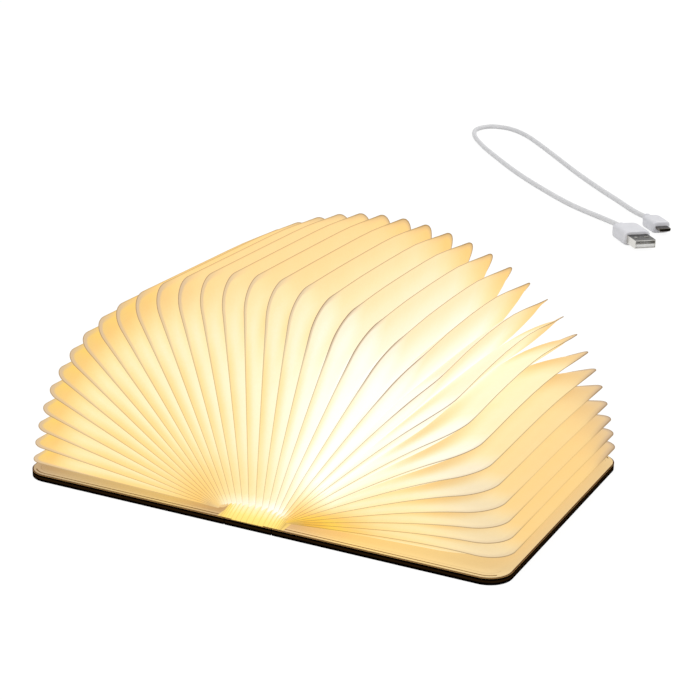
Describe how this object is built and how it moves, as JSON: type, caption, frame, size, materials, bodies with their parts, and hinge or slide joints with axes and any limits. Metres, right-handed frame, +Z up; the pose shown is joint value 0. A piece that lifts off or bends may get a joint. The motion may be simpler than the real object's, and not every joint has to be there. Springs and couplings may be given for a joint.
{
  "type": "folding book lamp",
  "caption": "Folding lamp like a small book: two dark wooden covers on a narrow spine open flat and spread a glowing fan of paper pockets; its loose charging lead lies behind.",
  "frame": {"origin": "Under the middle of the spine, on the plane that the open covers lie on.", "axes": "+Z up, the way the fan of pages stands; X across the covers, left cover toward -X; Y along the spine, away from the end nearest the viewer. Stored lying open and flat, as pictured."},
  "size_m": [0.2805, 0.6612, 0.0907],
  "materials": {
    "spine_board": "dark walnut with charred edges",
    "left_board": "dark walnut with charred edges",
    "right_board": "dark walnut with charred edges",
    "left_hinge_cloth": "plain cream book cloth",
    "right_hinge_cloth": "plain cream book cloth",
    "left_liner": "plain cream paper",
    "right_liner": "plain cream paper",
    "core_tray": "matt white moulding",
    "battery": "silver pouch",
    "led_board": "white solder mask",
    "leds": "warm yellow lens",
    "reed_switch": "clear glass",
    "usb_socket": "tin-plated sheet steel",
    "diffuser": "milky, lets the light through",
    "far_cap": "matt white moulding",
    "core_screws": "plain steel",
    "page_lining": "thin pleated paper, lit from inside",
    "left_magnets": "nickel-plated",
    "right_magnets": "nickel-plated",
    "switch_magnet": "nickel-plated",
    "charge_cord": "soft light grey sheath",
    "usb_a_grip": "satin white",
    "usb_a_shell": "nickel-plated sheet steel",
    "usb_a_tongue": "white",
    "micro_usb_grip": "satin white",
    "micro_usb_shell": "dark nickel-plated steel",
    "pages": "thin waterproof paper, glowing warm from inside"
  },
  "bodies": {
    "spine": {"spine_board": "spine_board", "left_hinge_cloth": "left_hinge_cloth", "right_hinge_cloth": "right_hinge_cloth", "core_tray": "core_tray", "battery": "battery", "led_board": "led_board", "leds": "leds", "reed_switch": "reed_switch", "usb_socket": "usb_socket", "diffuser": "diffuser", "far_cap": "far_cap", "core_screws": "core_screws", "page_lining": "page_lining", "charge_cord": "charge_cord", "usb_a_grip": "usb_a_grip", "usb_a_shell": "usb_a_shell", "usb_a_tongue": "usb_a_tongue", "micro_usb_grip": "micro_usb_grip", "micro_usb_shell": "micro_usb_shell"},
    "left_cover": {"left_board": "left_board", "left_liner": "left_liner", "left_magnets": "left_magnets", "switch_magnet": "switch_magnet"},
    "right_cover": {"right_board": "right_board", "right_liner": "right_liner", "right_magnets": "right_magnets"},
    "pocket_01": {"page_01": "pages"},
    "pocket_02": {"page_02": "pages"},
    "pocket_03": {"page_03": "pages"},
    "pocket_04": {"page_04": "pages"},
    "pocket_05": {"page_05": "pages"},
    "pocket_06": {"page_06": "pages"},
    "pocket_07": {"page_07": "pages"},
    "pocket_08": {"page_08": "pages"},
    "pocket_09": {"page_09": "pages"},
    "pocket_10": {"page_10": "pages"},
    "pocket_11": {"page_11": "pages"},
    "pocket_12": {"page_12": "pages"},
    "pocket_13": {"page_13": "pages"},
    "pocket_14": {"page_14": "pages"},
    "pocket_15": {"page_15": "pages"},
    "pocket_16": {"page_16": "pages"},
    "pocket_17": {"page_17": "pages"},
    "pocket_18": {"page_18": "pages"},
    "pocket_19": {"page_19": "pages"},
    "pocket_20": {"page_20": "pages"},
    "pocket_21": {"page_21": "pages"},
    "pocket_22": {"page_22": "pages"},
    "pocket_23": {"page_23": "pages"},
    "pocket_24": {"page_24": "pages"},
    "pocket_25": {"page_25": "pages"},
    "pocket_26": {"page_26": "pages"},
    "pocket_27": {"page_27": "pages"},
    "pocket_28": {"page_28": "pages"},
    "pocket_29": {"page_29": "pages"},
    "pocket_30": {"page_30": "pages"},
    "pocket_31": {"page_31": "pages"},
    "pocket_32": {"page_32": "pages"},
    "pocket_33": {"page_33": "pages"}
  },
  "joints": [
    {"name": "left_hinge", "type": "hinge", "parent": "spine", "child": "left_cover", "pos_m": [-0.0096, 0, 0.00285], "axis": [0, 1, 0], "range_deg": [0, 90], "deforming": ["left_hinge_cloth"]},
    {"name": "right_hinge", "type": "hinge", "parent": "spine", "child": "right_cover", "pos_m": [0.0096, 0, 0.00285], "axis": [0, -1, 0], "range_deg": [0, 90], "deforming": ["right_hinge_cloth"]},
    {"name": "page_01_fold", "type": "hinge", "parent": "spine", "child": "pocket_01", "pos_m": [-0.00898, 0, 0.0032], "axis": [0, 1, 0], "range_deg": [0, 88.04]},
    {"name": "page_02_fold", "type": "hinge", "parent": "spine", "child": "pocket_02", "pos_m": [-0.00842, 0, 0.0032], "axis": [0, 1, 0], "range_deg": [0, 83.51]},
    {"name": "page_03_fold", "type": "hinge", "parent": "spine", "child": "pocket_03", "pos_m": [-0.00786, 0, 0.0032], "axis": [0, 1, 0], "range_deg": [0, 78.67]},
    {"name": "page_04_fold", "type": "hinge", "parent": "spine", "child": "pocket_04", "pos_m": [-0.0073, 0, 0.0032], "axis": [0, 1, 0], "range_deg": [0, 73.49]},
    {"name": "page_05_fold", "type": "hinge", "parent": "spine", "child": "pocket_05", "pos_m": [-0.00673, 0, 0.0032], "axis": [0, 1, 0], "range_deg": [0, 68]},
    {"name": "page_06_fold", "type": "hinge", "parent": "spine", "child": "pocket_06", "pos_m": [-0.00617, 0, 0.0032], "axis": [0, 1, 0], "range_deg": [0, 62.25]},
    {"name": "page_07_fold", "type": "hinge", "parent": "spine", "child": "pocket_07", "pos_m": [-0.00561, 0, 0.0032], "axis": [0, 1, 0], "range_deg": [0, 56.32]},
    {"name": "page_08_fold", "type": "hinge", "parent": "spine", "child": "pocket_08", "pos_m": [-0.00505, 0, 0.0032], "axis": [0, 1, 0], "range_deg": [0, 50.28]},
    {"name": "page_09_fold", "type": "hinge", "parent": "spine", "child": "pocket_09", "pos_m": [-0.00449, 0, 0.0032], "axis": [0, 1, 0], "range_deg": [0, 44.16]},
    {"name": "page_10_fold", "type": "hinge", "parent": "spine", "child": "pocket_10", "pos_m": [-0.00393, 0, 0.0032], "axis": [0, 1, 0], "range_deg": [0, 37.93]},
    {"name": "page_11_fold", "type": "hinge", "parent": "spine", "child": "pocket_11", "pos_m": [-0.00337, 0, 0.0032], "axis": [0, 1, 0], "range_deg": [0, 31.66]},
    {"name": "page_12_fold", "type": "hinge", "parent": "spine", "child": "pocket_12", "pos_m": [-0.00281, 0, 0.0032], "axis": [0, 1, 0], "range_deg": [0, 25.43]},
    {"name": "page_13_fold", "type": "hinge", "parent": "spine", "child": "pocket_13", "pos_m": [-0.00225, 0, 0.0032], "axis": [0, 1, 0], "range_deg": [0, 19.28]},
    {"name": "page_14_fold", "type": "hinge", "parent": "spine", "child": "pocket_14", "pos_m": [-0.00168, 0, 0.0032], "axis": [0, 1, 0], "range_deg": [0, 13.25]},
    {"name": "page_15_fold", "type": "hinge", "parent": "spine", "child": "pocket_15", "pos_m": [-0.00112, 0, 0.0032], "axis": [0, 1, 0], "range_deg": [0, 7.34]},
    {"name": "page_16_fold", "type": "hinge", "parent": "spine", "child": "pocket_16", "pos_m": [-0.00056, 0, 0.0032], "axis": [0, 1, 0], "range_deg": [0, 1.54]},
    {"name": "page_17_fold", "type": "hinge", "parent": "spine", "child": "pocket_17", "pos_m": [0, 0, 0.0032], "axis": [0, -1, 0], "range_deg": [0, 4.21]},
    {"name": "page_18_fold", "type": "hinge", "parent": "spine", "child": "pocket_18", "pos_m": [0.00056, 0, 0.0032], "axis": [0, -1, 0], "range_deg": [0, 9.9]},
    {"name": "page_19_fold", "type": "hinge", "parent": "spine", "child": "pocket_19", "pos_m": [0.00112, 0, 0.0032], "axis": [0, -1, 0], "range_deg": [0, 15.59]},
    {"name": "page_20_fold", "type": "hinge", "parent": "spine", "child": "pocket_20", "pos_m": [0.00168, 0, 0.0032], "axis": [0, -1, 0], "range_deg": [0, 21.33]},
    {"name": "page_21_fold", "type": "hinge", "parent": "spine", "child": "pocket_21", "pos_m": [0.00225, 0, 0.0032], "axis": [0, -1, 0], "range_deg": [0, 27.11]},
    {"name": "page_22_fold", "type": "hinge", "parent": "spine", "child": "pocket_22", "pos_m": [0.00281, 0, 0.0032], "axis": [0, -1, 0], "range_deg": [0, 32.95]},
    {"name": "page_23_fold", "type": "hinge", "parent": "spine", "child": "pocket_23", "pos_m": [0.00337, 0, 0.0032], "axis": [0, -1, 0], "range_deg": [0, 38.8]},
    {"name": "page_24_fold", "type": "hinge", "parent": "spine", "child": "pocket_24", "pos_m": [0.00393, 0, 0.0032], "axis": [0, -1, 0], "range_deg": [0, 44.63]},
    {"name": "page_25_fold", "type": "hinge", "parent": "spine", "child": "pocket_25", "pos_m": [0.00449, 0, 0.0032], "axis": [0, -1, 0], "range_deg": [0, 50.37]},
    {"name": "page_26_fold", "type": "hinge", "parent": "spine", "child": "pocket_26", "pos_m": [0.00505, 0, 0.0032], "axis": [0, -1, 0], "range_deg": [0, 55.94]},
    {"name": "page_27_fold", "type": "hinge", "parent": "spine", "child": "pocket_27", "pos_m": [0.00561, 0, 0.0032], "axis": [0, -1, 0], "range_deg": [0, 61.27]},
    {"name": "page_28_fold", "type": "hinge", "parent": "spine", "child": "pocket_28", "pos_m": [0.00617, 0, 0.0032], "axis": [0, -1, 0], "range_deg": [0, 66.31]},
    {"name": "page_29_fold", "type": "hinge", "parent": "spine", "child": "pocket_29", "pos_m": [0.00673, 0, 0.0032], "axis": [0, -1, 0], "range_deg": [0, 71]},
    {"name": "page_30_fold", "type": "hinge", "parent": "spine", "child": "pocket_30", "pos_m": [0.0073, 0, 0.0032], "axis": [0, -1, 0], "range_deg": [0, 75.35]},
    {"name": "page_31_fold", "type": "hinge", "parent": "spine", "child": "pocket_31", "pos_m": [0.00786, 0, 0.0032], "axis": [0, -1, 0], "range_deg": [0, 79.36]},
    {"name": "page_32_fold", "type": "hinge", "parent": "spine", "child": "pocket_32", "pos_m": [0.00842, 0, 0.0032], "axis": [0, -1, 0], "range_deg": [0, 83.08]},
    {"name": "page_33_fold", "type": "hinge", "parent": "spine", "child": "pocket_33", "pos_m": [0.00898, 0, 0.0032], "axis": [0, -1, 0], "range_deg": [0, 86.6]}
  ],
  "couplings": [
    {"joint": "page_01_fold", "follows": "left_hinge", "ratio": 0.97812},
    {"joint": "page_02_fold", "follows": "left_hinge", "ratio": 0.9278},
    {"joint": "page_03_fold", "follows": "left_hinge", "ratio": 0.87397},
    {"joint": "page_04_fold", "follows": "left_hinge", "ratio": 0.81645},
    {"joint": "page_05_fold", "follows": "left_hinge", "ratio": 0.75546},
    {"joint": "page_06_fold", "follows": "left_hinge", "ratio": 0.69158},
    {"joint": "page_07_fold", "follows": "left_hinge", "ratio": 0.62564},
    {"joint": "page_08_fold", "follows": "left_hinge", "ratio": 0.55858},
    {"joint": "page_09_fold", "follows": "left_hinge", "ratio": 0.49057},
    {"joint": "page_10_fold", "follows": "left_hinge", "ratio": 0.42132},
    {"joint": "page_11_fold", "follows": "left_hinge", "ratio": 0.35169},
    {"joint": "page_12_fold", "follows": "left_hinge", "ratio": 0.28242},
    {"joint": "page_13_fold", "follows": "left_hinge", "ratio": 0.21411},
    {"joint": "page_14_fold", "follows": "left_hinge", "ratio": 0.14708},
    {"joint": "page_15_fold", "follows": "left_hinge", "ratio": 0.081418},
    {"joint": "page_16_fold", "follows": "left_hinge", "ratio": 0.016952},
    {"joint": "page_17_fold", "follows": "right_hinge", "ratio": 0.046667},
    {"joint": "page_18_fold", "follows": "right_hinge", "ratio": 0.10989},
    {"joint": "page_19_fold", "follows": "right_hinge", "ratio": 0.17316},
    {"joint": "page_20_fold", "follows": "right_hinge", "ratio": 0.23685},
    {"joint": "page_21_fold", "follows": "right_hinge", "ratio": 0.30114},
    {"joint": "page_22_fold", "follows": "right_hinge", "ratio": 0.36597},
    {"joint": "page_23_fold", "follows": "right_hinge", "ratio": 0.43104},
    {"joint": "page_24_fold", "follows": "right_hinge", "ratio": 0.4958},
    {"joint": "page_25_fold", "follows": "right_hinge", "ratio": 0.55954},
    {"joint": "page_26_fold", "follows": "right_hinge", "ratio": 0.62145},
    {"joint": "page_27_fold", "follows": "right_hinge", "ratio": 0.6807},
    {"joint": "page_28_fold", "follows": "right_hinge", "ratio": 0.73665},
    {"joint": "page_29_fold", "follows": "right_hinge", "ratio": 0.78882},
    {"joint": "page_30_fold", "follows": "right_hinge", "ratio": 0.83708},
    {"joint": "page_31_fold", "follows": "right_hinge", "ratio": 0.88164},
    {"joint": "page_32_fold", "follows": "right_hinge", "ratio": 0.92303},
    {"joint": "page_33_fold", "follows": "right_hinge", "ratio": 0.96212}
  ]
}
